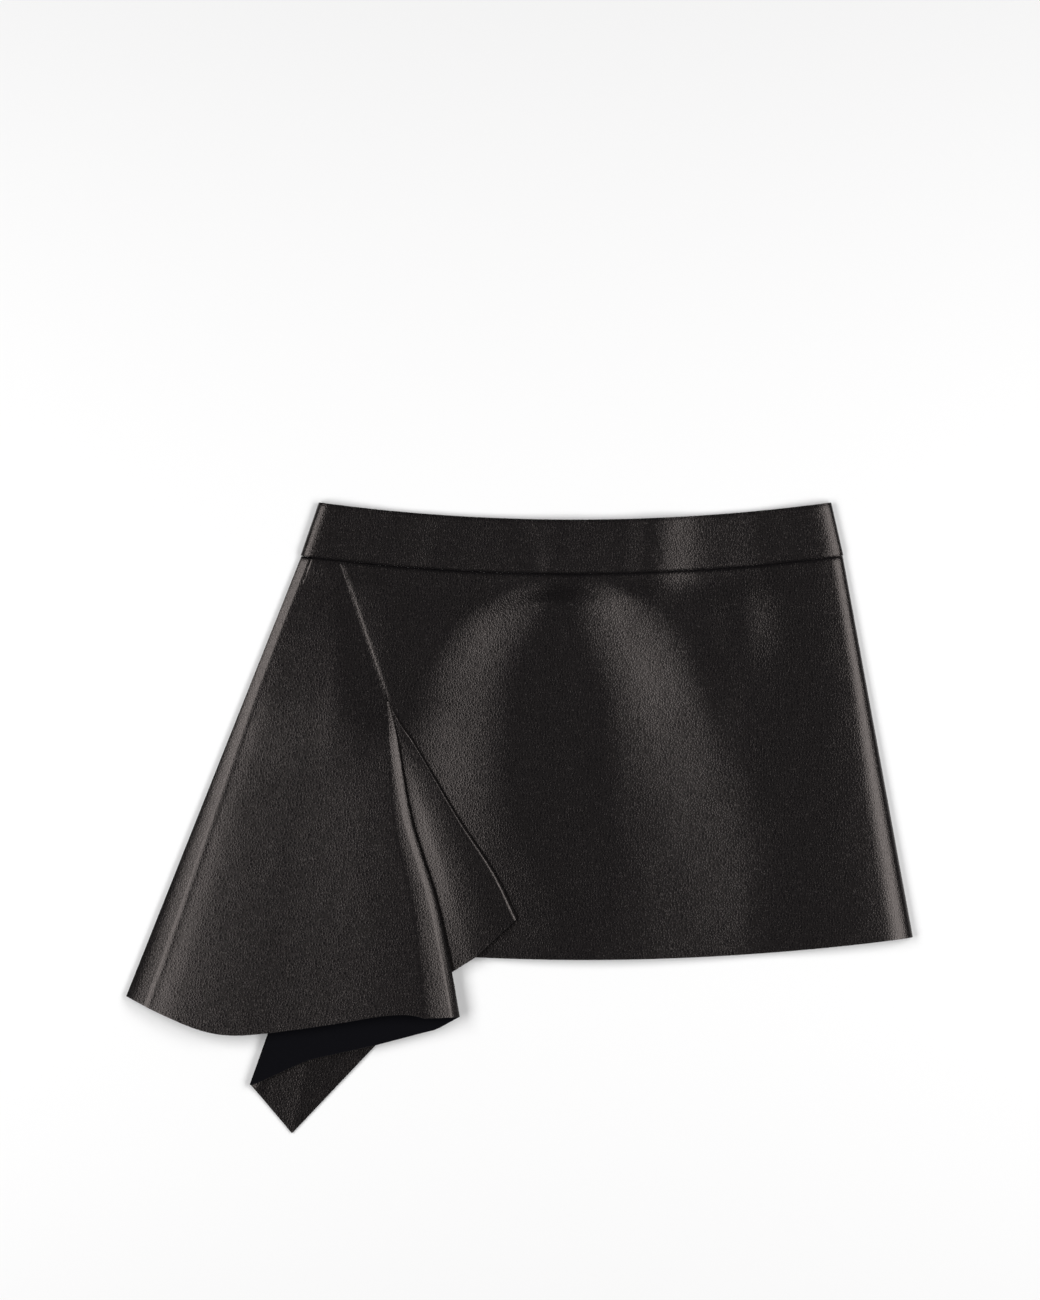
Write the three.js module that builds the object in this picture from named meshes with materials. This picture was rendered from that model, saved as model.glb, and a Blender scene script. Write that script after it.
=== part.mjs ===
// Leather mini skirt lying face up on a table, its side drape folded into a cascade.
// Millimetres. X runs across the skirt, Y towards the waist, Z up from the table at z = 0.
import * as THREE from 'three';

// Leather and seams
const leather = 1.0;
const bandWall = 1.8;
const seamGap = 0.3;
const layerRise = leather + 0.7;

// Waistband: two nearly concentric arcs, lowest in the middle
const bandTop = { low: 228.0, middle: 42.5, radius: 1463, left: -152.6, right: 237.5 };
const waist = { low: 186.7, middle: 40.2, radius: 1564, left: -166.4, right: 246.7 };
const bandLevel = 4.2;
const bandEnds = {
  left: { crest: 7.2, topInset: 7.5, crestInset: 8.5, floorInset: 5, settle: 60 },
  right: { crest: 7.2, topInset: 12, crestInset: 13, floorInset: 5, settle: 50 },
};
const bandSwells = [
  { x: 40, across: 62, rise: 2.4 },
  { x: 105, across: 24, rise: 3.0 },
];
const waistBlend = 24;

// Hem and side corners of the body
const hem = { low: -107.9, middle: 52, radius: 1830 };
const sideHem = { left: -215.3, right: 300.3 };
const backLeftInset = 12;

// Slanted seam between the front panel and the drape, from the waist to the hem
const seamTop = new THREE.Vector2(-136.6, 196.7);
const seamFoot = new THREE.Vector2(-34.0, -106.3);
const pivotDrop = 110.6;
const pivot = seamTop.clone().addScaledVector(seamFoot.clone().sub(seamTop).normalize(), pivotDrop);

// Right side roll of the front panel, from the waist (0) to the hem (1)
const rightRoll = [
  { at: 0, crest: 7.2, crestInset: 10, floorInset: 5.5 },
  { at: 0.3, crest: 8.4, crestInset: 12, floorInset: 6 },
  { at: 0.55, crest: 9.8, crestInset: 16, floorInset: 6.5 },
  { at: 1, crest: 11.5, crestInset: 21, floorInset: 7 },
];

// Raised middle of the front panel between two flared slopes, at heights of y; the right one
// falls to a floor of its own
const frontDome = [
  { at: -108, left: 0, leftWidth: 140, right: 128, rightWidth: 150, rise: 4.8, floor: 6.1 },
  { at: -50, left: -28, leftWidth: 112, right: 138, rightWidth: 148, rise: 7.0, floor: 6.1 },
  { at: 0, left: -48, leftWidth: 96, right: 132, rightWidth: 138, rise: 8.2, floor: 6.0 },
  { at: 55, left: -50, leftWidth: 92, right: 114, rightWidth: 96, rise: 8.6, floor: 5.1 },
  { at: 105, left: -43, leftWidth: 88, right: 99, rightWidth: 86, rise: 9.0, floor: 4.2 },
  { at: 150, left: -16, leftWidth: 74, right: 80, rightWidth: 82, rise: 8.2, floor: 3.9 },
  { at: 184, left: 24, leftWidth: 34, right: 54, rightWidth: 34, rise: 5.0, floor: 4.1 },
];

// Small swell beside the right flare, below the waist
const swell = { x: 171, y: 150, across: 23, along: 34, rise: 2.8 };

// Lift of the slanted seam over the folds that start at the pivot
const pivotLift = { rise: 3.0, above: 70, below: 22, across: 34 };

// Drape: the crease along its left roll, from the waist (0) to the hem (1), and the brow of the
// roll inside that crease
const drapeHemLeft = new THREE.Vector2(-300.3, -136.2);
const leftRoll = [
  { at: 0, inset: 6, height: 5.2, floorInset: 5 },
  { at: 0.15, inset: 6, height: 5.0, floorInset: 5 },
  { at: 0.3, inset: 6.4, height: 5.7, floorInset: 5.5 },
  { at: 0.42, inset: 7.6, height: 6.8, floorInset: 6 },
  { at: 0.6, inset: 10, height: 8.8, floorInset: 7 },
  { at: 0.83, inset: 12.8, height: 11.0, floorInset: 7 },
  { at: 1, inset: 14.5, height: 12.2, floorInset: 5.5 },
];
const leftBrow = { width: 4, rise: 0.7 };

// Share of the rise from the left roll to the first fold, across the drape's top layer
const topRise = [
  { at: 0, share: 0 },
  { at: 0.08, share: 0.25 },
  { at: 0.2, share: 0.43 },
  { at: 0.33, share: 0.52 },
  { at: 0.47, share: 0.57 },
  { at: 0.63, share: 0.69 },
  { at: 0.79, share: 0.85 },
  { at: 1, share: 1 },
];
const topSwell = { rise: 3.4, above: 1.5, below: 0.28, turnFrom: 0.55 };

// How far the drape's hem hangs below the straight line between its left roll and first fold
const drapeHemDrop = [
  { at: 0, drop: 0 },
  { at: 0.13, drop: 12.5 },
  { at: 0.26, drop: 22.0 },
  { at: 0.37, drop: 23.4 },
  { at: 0.55, drop: 16.5 },
  { at: 0.74, drop: 7.0 },
  { at: 0.86, drop: 0.5 },
  { at: 0.95, drop: -1.8 },
  { at: 1, drop: 0 },
];

// Cascade folds, all running down from the pivot to these points on the hem
const firstFoldHem = new THREE.Vector2(-45.5, -151.5);
const secondFoldHem = new THREE.Vector2(-206.2, -203.5);
const lastFoldHem = new THREE.Vector2(-1.9, -76.5);
const flapTip = new THREE.Vector2(-174.0, -241.0);

// Sideways wander of the first and last fold, from the pivot (0) to the hem (1)
const firstFoldWander = [
  { at: 0, aside: 0 },
  { at: 0.1, aside: 0.8 },
  { at: 0.38, aside: -2.5 },
  { at: 0.63, aside: 2.4 },
  { at: 0.85, aside: 1.9 },
  { at: 1, aside: 0 },
];
const lastFoldWander = [
  { at: 0, aside: 0 },
  { at: 0.1, aside: -1.2 },
  { at: 0.2, aside: 0.4 },
  { at: 0.55, aside: 0.6 },
  { at: 0.8, aside: 2.9 },
  { at: 1, aside: 0 },
];

// Rolled edge of each fold: its height near the pivot and at the hem, how far in from the edge
// its upper and lower halves reach at the hem, and the share of its height below the edge.
// The slants say how far the cut edge of each half runs down the fold for each step in from it.
// The first fold's upper half slopes as a brow down to a round of its own
const firstRoll = {
  start: 1.8, end: 10.2, growth: 0.8, upper: 26, upperWidening: 0.8, upperSlant: -0.2,
  lower: 5, lowerSlant: 0.28, edge: 0.22, round: 5.5, brow: 0.17,
};
const secondRoll = {
  start: layerRise, end: 6, growth: 1, upper: 4, upperWidening: 1.4, upperSlant: -0.6,
  lower: 14, lowerSlant: 0.57, edge: 0.65,
};
const lastRoll = {
  start: layerRise, end: 3.2, growth: 1, upper: 2.8, upperWidening: 1.4, upperSlant: 0.22,
  lower: 2.4, lowerSlant: -0.12, edge: 0.5,
};
const lowerWidening = 1.4;
const sideStraight = 0.8;
const sideRound = 4;
const facingLevel = 11.4;

// The flap and the lap where they lie on the front panel: their extra lift beside the pivot, the
// shares of the way across the flap where it comes to lie on the panel, and their clearance
const lapLift = { rise: 0.8, reach: 0.12 };
const flapRest = { from: 0.5, to: 0.72, turnFrom: 0.66, clearance: 0.2 };

// Free edges below the folds: share of the way across a layer, and the point on the edge
const facingEdge = [
  { at: 0, x: -45.5, y: -151.5 },
  { at: 0.1, x: -60.8, y: -159.9 },
  { at: 0.2, x: -75.4, y: -164.2 },
  { at: 0.5, x: -109.8, y: -173.3 },
  { at: 0.75, x: -160.5, y: -184.4 },
  { at: 1, x: -206.2, y: -203.5 },
];
const flapEdge = [
  { at: 0, x: -206.2, y: -203.5, height: 1.5 },
  { at: 0.2, x: flapTip.x, y: flapTip.y, height: 1.3 },
  { at: 0.5, x: -109.8, y: -173.3, height: 2.6 },
  { at: 0.75, x: -50.9, y: -117.0, height: 6.6 },
  { at: 0.85, x: -34.0, y: -106.3, height: 8.4 },
  { at: 1, x: lastFoldHem.x, y: lastFoldHem.y, height: 10.5 },
];
const seamLapEnd = 0.93;

// Zip along the centre back, from under the band's top edge
const zip = { x: 41, top: 226, bottom: 20, halfWidth: 11, wall: 0.8, stepFrom: 2.4, stepTo: 8 };

// Spacing of the mesh; the drape's folded rows start a short way below the pivot and crowd there
const grid = {
  bandRows: 4, bandMiddle: 26, panelRows: 22, frontMiddle: 28, backRows: 8, backColumns: 8,
  rollUpper: 8, rollLower: 5, upperRows: 8, lowerRows: 16, flatBack: 4, top: 15,
  foldSteps: 8, browSteps: 3, facing: 6, flap: 12, tipColumn: 3, lap: 3,
};
const firstRow = 0.065;
const browCurve = 1.35;
const rowCrowding = 1.15;

const leatherLook = new THREE.MeshStandardMaterial({ color: 0x17151a, roughness: 0.46, metalness: 0 });
const bandLook = new THREE.MeshStandardMaterial({ color: 0x19171c, roughness: 0.44, metalness: 0 });
const zipLook = new THREE.MeshStandardMaterial({ color: 0x101012, roughness: 0.8, metalness: 0 });

const { clamp, lerp, smoothstep } = THREE.MathUtils;

// Value of a named column between the rows of a table, along a smooth curve
function valueAt(table, name, place) {
  const last = table.length - 1;
  if (place <= table[0].at) {
    return table[0][name];
  }
  if (place >= table[last].at) {
    return table[last][name];
  }
  const after = table.findIndex((row) => row.at > place);
  const before = after - 1;
  const span = table[after].at - table[before].at;
  const slope = (row) => {
    const low = table[Math.max(row - 1, 0)];
    const high = table[Math.min(row + 1, last)];
    return (high[name] - low[name]) / (high.at - low.at) * span;
  };
  const t = (place - table[before].at) / span;
  const turn = t * t * (3 - 2 * t);
  const leave = t * (1 - t) * (1 - t) * slope(before);
  const arrive = t * t * (t - 1) * slope(after);
  return lerp(table[before][name], table[after][name], turn) + leave + arrive;
}

// Every column of a table but the first, between its rows
function columnsAt(table, place) {
  const names = Object.keys(table[0]).slice(1);
  return Object.fromEntries(names.map((name) => [name, valueAt(table, name, place)]));
}

// Value of a named column between the rows of a table, along straight lines
function straightAt(table, name, place) {
  const after = Math.max(1, table.findIndex((row) => row.at >= place));
  const low = table[after - 1];
  const high = table[after];
  return lerp(low[name], high[name], (place - low.at) / (high.at - low.at));
}

// Height of a shallow arc above its lowest point
function arcAt(arc, x) {
  return arc.low + (x - arc.middle) ** 2 / (2 * arc.radius);
}

// Solid wall round a grid of points on its middle surface; a row may be shorter than the next
function wallGeometry(rows, wall) {
  const points = [];
  const ids = rows.map((row) => row.map((point) => points.push(point) - 1));
  const faces = [];
  for (let r = 0; r + 1 < rows.length; r += 1) {
    const shared = Math.min(rows[r].length, rows[r + 1].length);
    for (let c = 0; c + 1 < shared; c += 1) {
      const corners = [ids[r][c], ids[r + 1][c], ids[r + 1][c + 1], ids[r][c + 1]];
      const falling = points[corners[0]].distanceTo(points[corners[2]]);
      const rising = points[corners[1]].distanceTo(points[corners[3]]);
      const [a, b, d, e] = falling <= rising ? corners : [...corners.slice(1), corners[0]];
      faces.push([a, b, d], [a, d, e]);
    }
  }
  const normals = points.map(() => new THREE.Vector3());
  const edges = new Map();
  for (const face of faces) {
    const [a, b, d] = face.map((id) => points[id]);
    const turned = new THREE.Vector3().crossVectors(b.clone().sub(a), d.clone().sub(a));
    face.forEach((id) => normals[id].add(turned));
    face.forEach((id, i) => edges.set(`${id} ${face[(i + 1) % 3]}`, [id, face[(i + 1) % 3]]));
  }
  const count = points.length;
  const positions = [];
  for (const side of [0.5, -0.5]) {
    points.forEach((point, id) => {
      const moved = point.clone().addScaledVector(normals[id].clone().normalize(), side * wall);
      positions.push(moved.x, moved.y, moved.z);
    });
  }
  const index = [];
  for (const [a, b, d] of faces) {
    index.push(a, b, d, count + a, count + d, count + b);
  }
  for (const [a, b] of edges.values()) {
    if (!edges.has(`${b} ${a}`)) {
      index.push(b, a, count + a, b, count + a, count + b);
    }
  }
  const geometry = new THREE.BufferGeometry();
  geometry.setAttribute('position', new THREE.Float32BufferAttribute(positions, 3));
  geometry.setIndex(index);
  geometry.computeVertexNormals();
  return geometry;
}

// Inset and height on the upper half of a creased roll: a soft slope falls to the crease, and a
// steeper one from it to the edge
const creaseForm = { turn: 0.5, swell: 1.7, straight: 0.85, round: 4 };
function creasedSide(roll, reach, turn) {
  const { inset, height } = roll.crease;
  if (turn <= creaseForm.turn) {
    const share = turn / creaseForm.turn;
    return {
      inset: lerp(roll.crestInset, inset, share),
      height: lerp(roll.crest, height, share ** creaseForm.swell),
    };
  }
  const share = (turn - creaseForm.turn) / (1 - creaseForm.turn);
  const fall = lerp(share ** creaseForm.round, share, creaseForm.straight);
  return { inset: inset * (1 - share), height: lerp(height, reach, fall) };
}

// Inset and height along the upper or lower quarter of a side roll; turn runs from 0 to 1. The
// lower one is never so tight that the wall's inner face would fold over itself
const rollForm = { edge: 0.25, tightest: 0.9 };
function rollQuarter(roll, floor, upper, turn) {
  const least = Math.sqrt(roll.floorInset * (floor + rollForm.tightest));
  const reach = floor + Math.max((roll.crest - floor) * rollForm.edge, least);
  const angle = turn * Math.PI / 2;
  if (upper && roll.crease) {
    return creasedSide(roll, reach, turn);
  }
  if (upper) {
    return {
      inset: roll.crestInset * (1 - Math.sin(angle)),
      height: reach + (roll.crest - reach) * Math.cos(angle),
    };
  }
  return {
    inset: roll.floorInset * (1 - Math.cos(angle)),
    height: reach - (reach - floor) * Math.sin(angle),
  };
}

// Crest and insets of a side roll at a place down the skirt
function rollAt(table, place) {
  return {
    crest: valueAt(table, 'crest', place),
    crestInset: valueAt(table, 'crestInset', place),
    floorInset: lerp(table[0].floorInset, table[table.length - 1].floorInset, place),
  };
}

// Plan point on the right side fold, from the waist (0) to the hem (1)
function sideRight(down) {
  return new THREE.Vector2(
    lerp(waist.right, sideHem.right, down),
    lerp(arcAt(waist, waist.right) - seamGap / 2, arcAt(hem, sideHem.right), down),
  );
}

// Sag of a row of the body below the straight line between its ends
function rowBow(left, right, down) {
  return (right - left) ** 2 / lerp(2 * waist.radius, 2 * hem.radius, down);
}

// Height of the waistband's middle surface over the table, along its lower edge
function bandHeight(x, left = waist.left, right = waist.right, share = 1) {
  const from = left + lerp(bandEnds.left.topInset, bandEnds.left.crestInset, share);
  const to = right - lerp(bandEnds.right.topInset, bandEnds.right.crestInset, share);
  const sinkLeft = smoothstep(x, from, from + bandEnds.left.settle);
  const sinkRight = smoothstep(x, to - bandEnds.right.settle, to);
  const level = bandSwells.reduce(
    (height, wave) => height + wave.rise * Math.exp(-(((x - wave.x) / wave.across) ** 2)),
    bandLevel,
  );
  return lerp(lerp(bandEnds.left.crest, level, sinkLeft), bandEnds.right.crest, sinkRight);
}

// Height that a body piece takes at the waist seam, easing into its own height below it
function fromWaist(x, y, height) {
  return lerp(bandHeight(x), height, smoothstep(arcAt(waist, x) - y, 0, waistBlend));
}

// Height of the front panel's middle surface over the table
const seamLevels = [
  { at: -108, level: 5.2 },
  { at: 0, level: 4.2 },
  { at: 90, level: 3.2 },
  { at: 200, level: bandLevel },
];
const rollRiseStart = 165;
const bodyTop = 200;
const bodyLength = 300;
function frontHeight(x, y) {
  const down = clamp((bodyTop - y) / bodyLength, 0, 1);
  const roll = rollAt(rightRoll, down);
  const crestX = sideRight(down).x - roll.crestInset;
  const seam = valueAt(seamLevels, 'level', y);
  const domeAt = (name) => valueAt(frontDome, name, y);
  const left = smoothstep((x - domeAt('left')) / domeAt('leftWidth'), -0.5, 0.5);
  const right = smoothstep((domeAt('right') - x) / domeAt('rightWidth'), -0.5, 0.5);
  const side = lerp(domeAt('floor'), roll.crest, smoothstep(x, rollRiseStart, crestX));
  const dome = lerp(side, seam + domeAt('rise') * left, right);
  const offset = ((x - swell.x) / swell.across) ** 2 + ((y - swell.y) / swell.along) ** 2;
  const swelling = swell.rise * Math.exp(-offset);
  const away = (y - pivot.y) / (y > pivot.y ? pivotLift.above : pivotLift.below);
  const lift = pivotLift.rise * Math.exp(-(away ** 2) - ((x - pivot.x) / pivotLift.across) ** 2);
  return fromWaist(x, y, dome + swelling + lift);
}

// Front panel, from the slanted seam round the right side fold
function frontPanel() {
  const rows = [];
  const aside = new THREE.Vector2(seamTop.y - seamFoot.y, seamFoot.x - seamTop.x);
  aside.setLength(seamGap / 2);
  const top = seamTop.clone().add(aside);
  const foot = seamFoot.clone().add(aside);
  top.y = arcAt(waist, top.x) - seamGap / 2;
  for (let r = 0; r <= grid.panelRows; r += 1) {
    const down = r / grid.panelRows;
    const left = top.clone().lerp(foot, down);
    const right = sideRight(down);
    const bow = rowBow(left.x, right.x, down);
    const roll = rollAt(rightRoll, down);
    const lineAt = (x) => {
      const share = (x - left.x) / (right.x - left.x);
      return lerp(left.y, right.y, share) - bow * share * (1 - share);
    };
    const crestX = right.x - roll.crestInset;
    const row = [];
    for (let c = 0; c < grid.frontMiddle; c += 1) {
      const x = lerp(left.x, crestX, c / grid.frontMiddle);
      row.push(new THREE.Vector3(x, lineAt(x), frontHeight(x, lineAt(x))));
    }
    const crest = { ...roll, crest: frontHeight(crestX, lineAt(crestX)) };
    const place = (inset) => new THREE.Vector2(right.x - inset, lineAt(right.x - inset));
    addRoll(row, crest, leather / 2, place);
    rows.push(row);
  }
  return wallGeometry(rows, leather);
}

// A roll's points from its crest round to the table; place gives the plan point at an inset
function addRoll(row, roll, floor, place) {
  for (let step = 0; step < grid.rollUpper; step += 1) {
    const { inset, height } = rollQuarter(roll, floor, true, step / grid.rollUpper);
    const plan = place(inset, true);
    row.push(new THREE.Vector3(plan.x, plan.y, height));
  }
  for (let step = 0; step <= grid.rollLower; step += 1) {
    const { inset, height } = rollQuarter(roll, floor, false, step / grid.rollLower);
    const plan = place(inset, false);
    row.push(new THREE.Vector3(plan.x, plan.y, height));
  }
}

// One half of the back panel, flat on the table between two sides
function backHalf(isLeft) {
  const centre = waist.middle + (isLeft ? -seamGap / 2 : seamGap / 2);
  const rows = [];
  for (let r = 0; r <= grid.backRows; r += 1) {
    const down = r / grid.backRows;
    const outer = isLeft
      ? lerp(waist.left + backLeftInset, sideHem.left, down)
      : sideRight(down).x - rollAt(rightRoll, down).floorInset - seamGap;
    const [from, to] = isLeft ? [outer, centre] : [centre, outer];
    const row = [];
    for (let c = 0; c <= grid.backColumns; c += 1) {
      const x = lerp(from, to, c / grid.backColumns);
      const y = lerp(arcAt(waist, x) - seamGap / 2, arcAt(hem, x), down);
      row.push(new THREE.Vector3(x, y, leather / 2));
    }
    rows.push(row);
  }
  return wallGeometry(rows, leather);
}

// Waistband front, over both side folds
function bandFront() {
  const rows = [];
  for (let r = 0; r <= grid.bandRows; r += 1) {
    const down = r / grid.bandRows;
    const left = lerp(bandTop.left, waist.left, down);
    const right = lerp(bandTop.right, waist.right, down);
    const lineAt = (x) => lerp(arcAt(bandTop, x), arcAt(waist, x) + seamGap / 2, down);
    const place = (x) => new THREE.Vector2(x, lineAt(x));
    const endAt = (end) => ({ ...end, crestInset: lerp(end.topInset, end.crestInset, down) });
    const leftEnd = endAt(bandEnds.left);
    const rightEnd = endAt(bandEnds.right);
    const start = [];
    addRoll(start, leftEnd, bandWall / 2, (inset) => place(left + inset));
    const row = start.reverse();
    for (let c = 1; c < grid.bandMiddle; c += 1) {
      const x = lerp(left + leftEnd.crestInset, right - rightEnd.crestInset, c / grid.bandMiddle);
      const plan = place(x);
      row.push(new THREE.Vector3(plan.x, plan.y, bandHeight(x, left, right, down)));
    }
    addRoll(row, rightEnd, bandWall / 2, (inset) => place(right - inset));
    rows.push(row);
  }
  return wallGeometry(rows, bandWall);
}

// One half of the waistband back, flat on the table
function bandBackHalf(isLeft) {
  const centre = waist.middle + (isLeft ? -seamGap / 2 : seamGap / 2);
  const rows = [];
  for (let r = 0; r <= grid.bandRows; r += 1) {
    const down = r / grid.bandRows;
    const outer = isLeft
      ? lerp(bandTop.left, waist.left, down) + bandEnds.left.floorInset + seamGap
      : lerp(bandTop.right, waist.right, down) - bandEnds.right.floorInset - seamGap;
    const [from, to] = isLeft ? [outer, centre] : [centre, outer];
    const row = [];
    for (let c = 0; c <= grid.backColumns; c += 1) {
      const x = lerp(from, to, c / grid.backColumns);
      const y = lerp(arcAt(bandTop, x), arcAt(waist, x) + seamGap / 2, down);
      row.push(new THREE.Vector3(x, y, bandWall / 2));
    }
    rows.push(row);
  }
  return wallGeometry(rows, bandWall);
}

// Plan point on a cascade fold, a share of the way from the pivot to its hem point
function foldAt(foot, share, wander) {
  const along = foot.clone().sub(pivot);
  const aside = new THREE.Vector2(-along.y, along.x).normalize();
  const shift = wander ? valueAt(wander, 'aside', share) : 0;
  return {
    point: pivot.clone().addScaledVector(along, share).addScaledVector(aside, shift),
    down: along.clone().normalize(),
    aside,
  };
}

// A fold's rolled edge at one row: its height, and how far in its upper and lower halves reach
function foldRoll(roll, share) {
  const upper = lerp(roll.start / 2, roll.upper, share ** roll.upperWidening);
  return {
    height: lerp(roll.start, roll.end, share ** roll.growth),
    upper,
    lower: lerp(roll.start / 2, roll.lower, share ** lowerWidening),
    edge: lerp(0.5, roll.edge, share),
    round: roll.round ? Math.min(upper, roll.round) : upper,
    brow: roll.brow ?? 0,
    upperSlant: roll.upperSlant * share,
    lowerSlant: roll.lowerSlant * share,
  };
}

// Plan point a step in from a fold's edge, on its upper or lower half
function foldInner(fold, roll, isUpper, inset) {
  const slant = isUpper ? roll.upperSlant : roll.lowerSlant;
  return fold.point.clone()
    .addScaledVector(fold.aside, -leather / 2 - inset)
    .addScaledVector(fold.down, slant * inset);
}

// Points round a fold from its upper layer to its lower one, whose height is lower
function foldTurn(fold, roll, lower) {
  const turn = [];
  const middle = lower + roll.height * roll.edge;
  const add = (isUpper, inset, height) => {
    const plan = foldInner(fold, roll, isUpper, inset);
    turn.push(new THREE.Vector3(plan.x, plan.y, height));
  };
  const drop = roll.brow * (roll.upper - roll.round);
  for (let step = 0; drop > 0 && step < grid.browSteps; step += 1) {
    const share = step / grid.browSteps;
    const inset = lerp(roll.upper, roll.round, share);
    add(true, inset, lower + roll.height - drop * share ** browCurve);
  }
  const rise = roll.height * (1 - roll.edge) - drop;
  const quarter = grid.foldSteps / 2;
  for (let step = 0; step < quarter; step += 1) {
    const share = step / quarter;
    const angle = share * Math.PI / 2;
    const round = { inset: 1 - Math.sin(angle), height: Math.cos(angle) };
    const steep = { inset: 1 - share, height: 1 - lerp(share ** sideRound, share, sideStraight) };
    const side = drop > 0 ? steep : round;
    add(true, roll.round * side.inset, middle + rise * side.height);
  }
  for (let step = 0; step <= quarter; step += 1) {
    const angle = step / quarter * Math.PI / 2;
    const fall = roll.height * roll.edge * Math.sin(angle);
    add(false, roll.lower * (1 - Math.cos(angle)), middle - fall);
  }
  return turn;
}

// Plan point of a folded layer on the line from the pivot to its free edge, drawn in to both ends
const endReach = 0.2;
function layerPoint(edge, across, share, from, to) {
  const ray = (place) => {
    const onEdge = new THREE.Vector2(straightAt(edge, 'x', place), straightAt(edge, 'y', place));
    return pivot.clone().lerp(onEdge, share);
  };
  const nearFrom = Math.max(0, 1 - across / endReach);
  const nearTo = Math.max(0, 1 - (1 - across) / endReach);
  return ray(across)
    .addScaledVector(from.clone().sub(ray(0)), nearFrom)
    .addScaledVector(to.clone().sub(ray(1)), nearTo);
}

// The cascade's folded layers under the drape's top layer, at one row below the pivot
function cascadeAt(share) {
  const first = foldAt(firstFoldHem, share, firstFoldWander);
  const second = foldAt(secondFoldHem, share);
  const last = foldAt(lastFoldHem, share, lastFoldWander);
  second.aside.negate();
  const firstShape = foldRoll(firstRoll, share);
  const secondShape = foldRoll(secondRoll, share);
  const lastShape = foldRoll(lastRoll, share);
  const lapStart = foldInner(last, lastShape, false, lastShape.lower);
  const flapFrom = foldInner(second, secondShape, false, secondShape.lower);
  const flapTo = foldInner(last, lastShape, true, lastShape.upper);
  const facingFrom = foldInner(first, firstShape, false, firstShape.lower);
  const facingTo = foldInner(second, secondShape, true, secondShape.upper);
  const lapRise = layerRise + lapLift.rise * Math.exp(-((share / lapLift.reach) ** 2));
  const lap = frontHeight(lapStart.x, lapStart.y) + lapRise;
  const seam = pivot.clone().lerp(seamFoot, share * seamLapEnd);
  const stacked = frontHeight(seam.x, seam.y) + lapRise + layerRise;
  const flapEnd = lap + lastShape.height;
  const flapPoint = (across) => {
    const plan = layerPoint(flapEdge, across, share, flapFrom, flapTo);
    const own = lerp(stacked, valueAt(flapEdge, 'height', across), share);
    const resting = frontHeight(plan.x, plan.y) + lapRise + layerRise + flapRest.clearance;
    const raise = Math.max(0, resting - own) * smoothstep(across, flapRest.from, flapRest.to);
    const height = lerp(own + raise, flapEnd, smoothstep(across, flapRest.turnFrom, 1));
    return new THREE.Vector3(plan.x, plan.y, height);
  };
  const facingStart = lerp(stacked + layerRise, facingLevel, share);
  const facingEnd = flapPoint(0).z + secondShape.height;
  const points = foldTurn(first, firstShape, facingStart);
  for (let c = 1; c < grid.facing; c += 1) {
    const across = c / grid.facing;
    const plan = layerPoint(facingEdge, across, share, facingFrom, facingTo);
    points.push(new THREE.Vector3(plan.x, plan.y, lerp(facingStart, facingEnd, across)));
  }
  points.push(...foldTurn(second, secondShape, flapPoint(0).z));
  for (let c = 1; c < grid.flap; c += 1) {
    points.push(flapPoint(flapShare(c)));
  }
  points.push(...foldTurn(last, lastShape, lap));
  for (let c = 1; c <= grid.lap; c += 1) {
    const plan = lapStart.clone().lerp(seam, c / grid.lap);
    points.push(new THREE.Vector3(plan.x, plan.y, frontHeight(plan.x, plan.y) + lapRise));
  }
  return points;
}

// Shares across the flap, with one column on its tip
function flapShare(column) {
  const tipShare = flapEdge[1].at;
  if (column <= grid.tipColumn) {
    return tipShare * column / grid.tipColumn;
  }
  return lerp(tipShare, 1, (column - grid.tipColumn) / (grid.flap - grid.tipColumn));
}

// Drape panel: flat back part, left roll, top layer and, below the pivot, the folded layers
function drapePanel() {
  const rows = [];
  const pivotShare = pivotDrop / (pivotDrop + pivot.distanceTo(firstFoldHem));
  for (let r = 0; r <= grid.upperRows; r += 1) {
    rows.push(drapeRow(pivotShare * r / grid.upperRows, pivotShare, false));
  }
  for (let r = 0; r < grid.lowerRows; r += 1) {
    const share = lerp(firstRow, 1, (r / (grid.lowerRows - 1)) ** rowCrowding);
    rows.push(drapeRow(lerp(pivotShare, 1, share), pivotShare, true));
  }
  return wallGeometry(rows, leather);
}

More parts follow.
